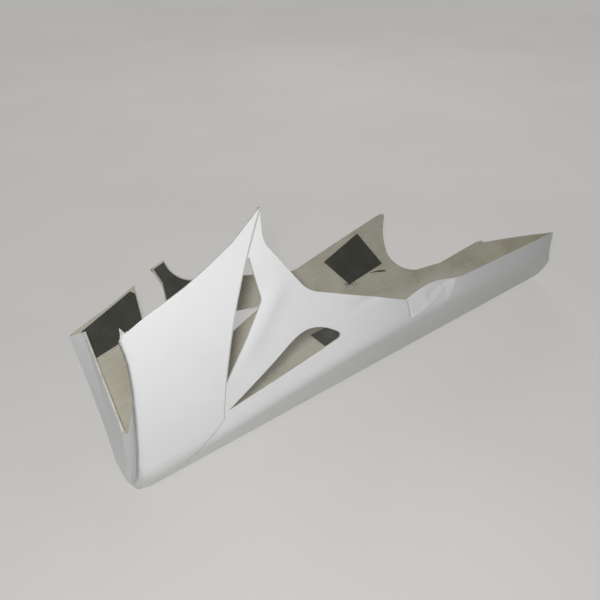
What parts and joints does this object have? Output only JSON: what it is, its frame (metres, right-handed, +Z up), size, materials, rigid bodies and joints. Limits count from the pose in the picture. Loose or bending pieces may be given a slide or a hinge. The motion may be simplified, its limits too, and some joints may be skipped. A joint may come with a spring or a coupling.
{
  "type": "motorcycle belly pan",
  "caption": "Moulded lower fairing pan with a V-shaped front flange, side vents, cut-away rims, a closed tail and woven reinforcement patches bonded inside.",
  "frame": {"origin": "bottom centre of the box of the pan as it lies on its right lower facet", "axes": "+X from the nose to the tail along the keel, +Y towards the pan's right side, +Z up from the floor it lies on"},
  "size_m": [0.7212, 0.2986, 0.3019],
  "materials": {
    "gelcoat_laminate": "white gelcoat outside, raw cream glass laminate inside",
    "woven_reinforcement": "dark woven cloth wetted out with clear resin"
  },
  "bodies": {
    "root": {"pan_shell": "gelcoat_laminate", "front_tab_patch": "woven_reinforcement", "ear_patch": "woven_reinforcement", "side_patch": "woven_reinforcement", "bilge_patch": "woven_reinforcement"}
  },
  "joints": []
}
